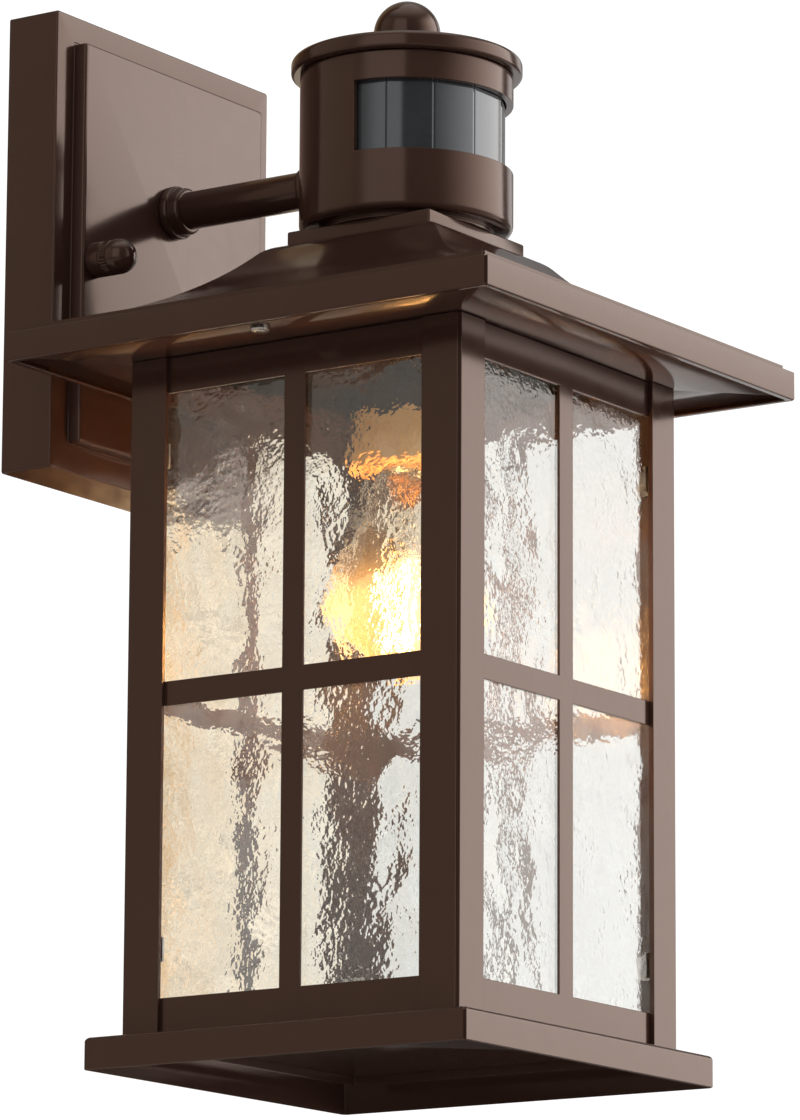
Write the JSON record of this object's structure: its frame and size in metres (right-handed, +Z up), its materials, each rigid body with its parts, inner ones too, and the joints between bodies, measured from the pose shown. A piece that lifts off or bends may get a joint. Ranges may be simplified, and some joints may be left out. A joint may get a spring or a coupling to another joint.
{
  "type": "outdoor wall lantern",
  "caption": "Square glass-sided wall lantern under a flared roof, with a round motion sensor on top and one arm to a panelled wall plate.",
  "frame": {"origin": "centre of the mounting bar's two slots, on the wall plane", "axes": "+Y into the wall, +Z up, +X to the right seen from in front of the wall"},
  "size_m": [0.232, 0.265, 0.4463],
  "materials": {
    "bronze_paint": "semi-gloss baked paint",
    "zinc_steel": "zinc plated",
    "bright_screw": "bright plated",
    "brass": "satin",
    "porcelain": "glazed",
    "water_glass": "clear, rippled on its inner face",
    "bulb_glass": "clear",
    "filament": "phosphor-coated, lit",
    "sensor_lens": "tinted, ribbed on its inner face",
    "black_plastic": "moulded",
    "board_green": "solder resist",
    "part_blue": "moulded",
    "sleeve_grey": "shrink sleeve",
    "dial_white": "moulded",
    "dial_amber": "moulded",
    "foam": "closed-cell foam",
    "ground_green": "lacquered",
    "lead_green": "insulation",
    "lead_black": "insulation",
    "lead_white": "insulation",
    "wire_nut": "moulded"
  },
  "bodies": {
    "head": {"crossbar": "zinc_steel", "crossbar_studs": "zinc_steel", "stud_nuts": "zinc_steel", "ground_screw": "ground_green", "wall_plate": "bronze_paint", "wall_gasket": "foam", "arm_flange": "bronze_paint", "arm_tube": "bronze_paint", "arm_collar": "bronze_paint", "arm_nipples": "zinc_steel", "nipple_nuts": "zinc_steel", "step_plate": "bronze_paint", "roof_shell": "bronze_paint", "roof_tabs": "zinc_steel", "stem_tube": "brass", "lampholder": "porcelain", "screw_shell": "brass", "centre_contact": "brass", "sensor_housing": "bronze_paint", "sensor_lens": "sensor_lens", "lens_retainer": "black_plastic", "sensor_board": "board_green", "board_holder": "black_plastic", "infrared_element": "zinc_steel", "relay": "part_blue", "capacitor": "sleeve_grey", "control_plate": "black_plastic", "plate_screws": "zinc_steel", "dial_pots": "part_blue", "finial_stud": "zinc_steel", "supply_leads": "lead_black", "ground_lead": "lead_green", "lamp_leads": "lead_white", "wire_nuts": "wire_nut"},
    "cage": {"soffit_plate": "bronze_paint", "corner_posts": "bronze_paint", "frame_front": "bronze_paint", "frame_back": "bronze_paint", "frame_left": "bronze_paint", "frame_right": "bronze_paint", "glass_front": "water_glass", "glass_back": "water_glass", "glass_left": "water_glass", "glass_right": "water_glass", "glass_clips": "zinc_steel", "base_tray": "bronze_paint", "floor_plate": "bronze_paint", "cage_screws": "bright_screw"},
    "cap": {"housing_cap": "bronze_paint"},
    "finial": {"ball_finial": "bronze_paint"},
    "time_knob": {"time_dial": "dial_white"},
    "lux_knob": {"lux_dial": "dial_amber"},
    "left_nut": {"left_cap_nut": "bronze_paint"},
    "right_nut": {"right_cap_nut": "bronze_paint"},
    "bulb": {"bulb_glass": "bulb_glass", "bulb_base": "brass", "bulb_contact": "black_plastic", "filament_stem": "bulb_glass", "filaments": "filament"}
  },
  "joints": [
    {"name": "cage_drop", "type": "slide", "parent": "head", "child": "cage", "axis": [0, 0, -1], "range_m": [0, 0.27]},
    {"name": "cap_lift", "type": "slide", "parent": "head", "child": "cap", "axis": [0, 0, 1], "range_m": [0, 0.05]},
    {"name": "finial_turn", "type": "hinge", "parent": "cap", "child": "finial", "pos_m": [0, -0.149, 0.09], "axis": [0, 0, 1], "range_deg": [0, 1080]},
    {"name": "time_turn", "type": "hinge", "parent": "head", "child": "time_knob", "pos_m": [-0.016, -0.159, 0.066], "axis": [0, 0, 1], "range_deg": [0, 270]},
    {"name": "lux_turn", "type": "hinge", "parent": "head", "child": "lux_knob", "pos_m": [0.016, -0.159, 0.066], "axis": [0, 0, 1], "range_deg": [0, 270]},
    {"name": "bulb_turn", "type": "hinge", "parent": "head", "child": "bulb", "pos_m": [0, -0.149, -0.08], "axis": [0, 0, -1], "range_deg": [0, 1080]},
    {"name": "left_nut_turn", "type": "hinge", "parent": "head", "child": "left_nut", "pos_m": [-0.055, -0.04, 0], "axis": [0, -1, 0], "range_deg": [0, 1080]},
    {"name": "right_nut_turn", "type": "hinge", "parent": "head", "child": "right_nut", "pos_m": [0.055, -0.04, 0], "axis": [0, -1, 0], "range_deg": [0, 1080]}
  ]
}
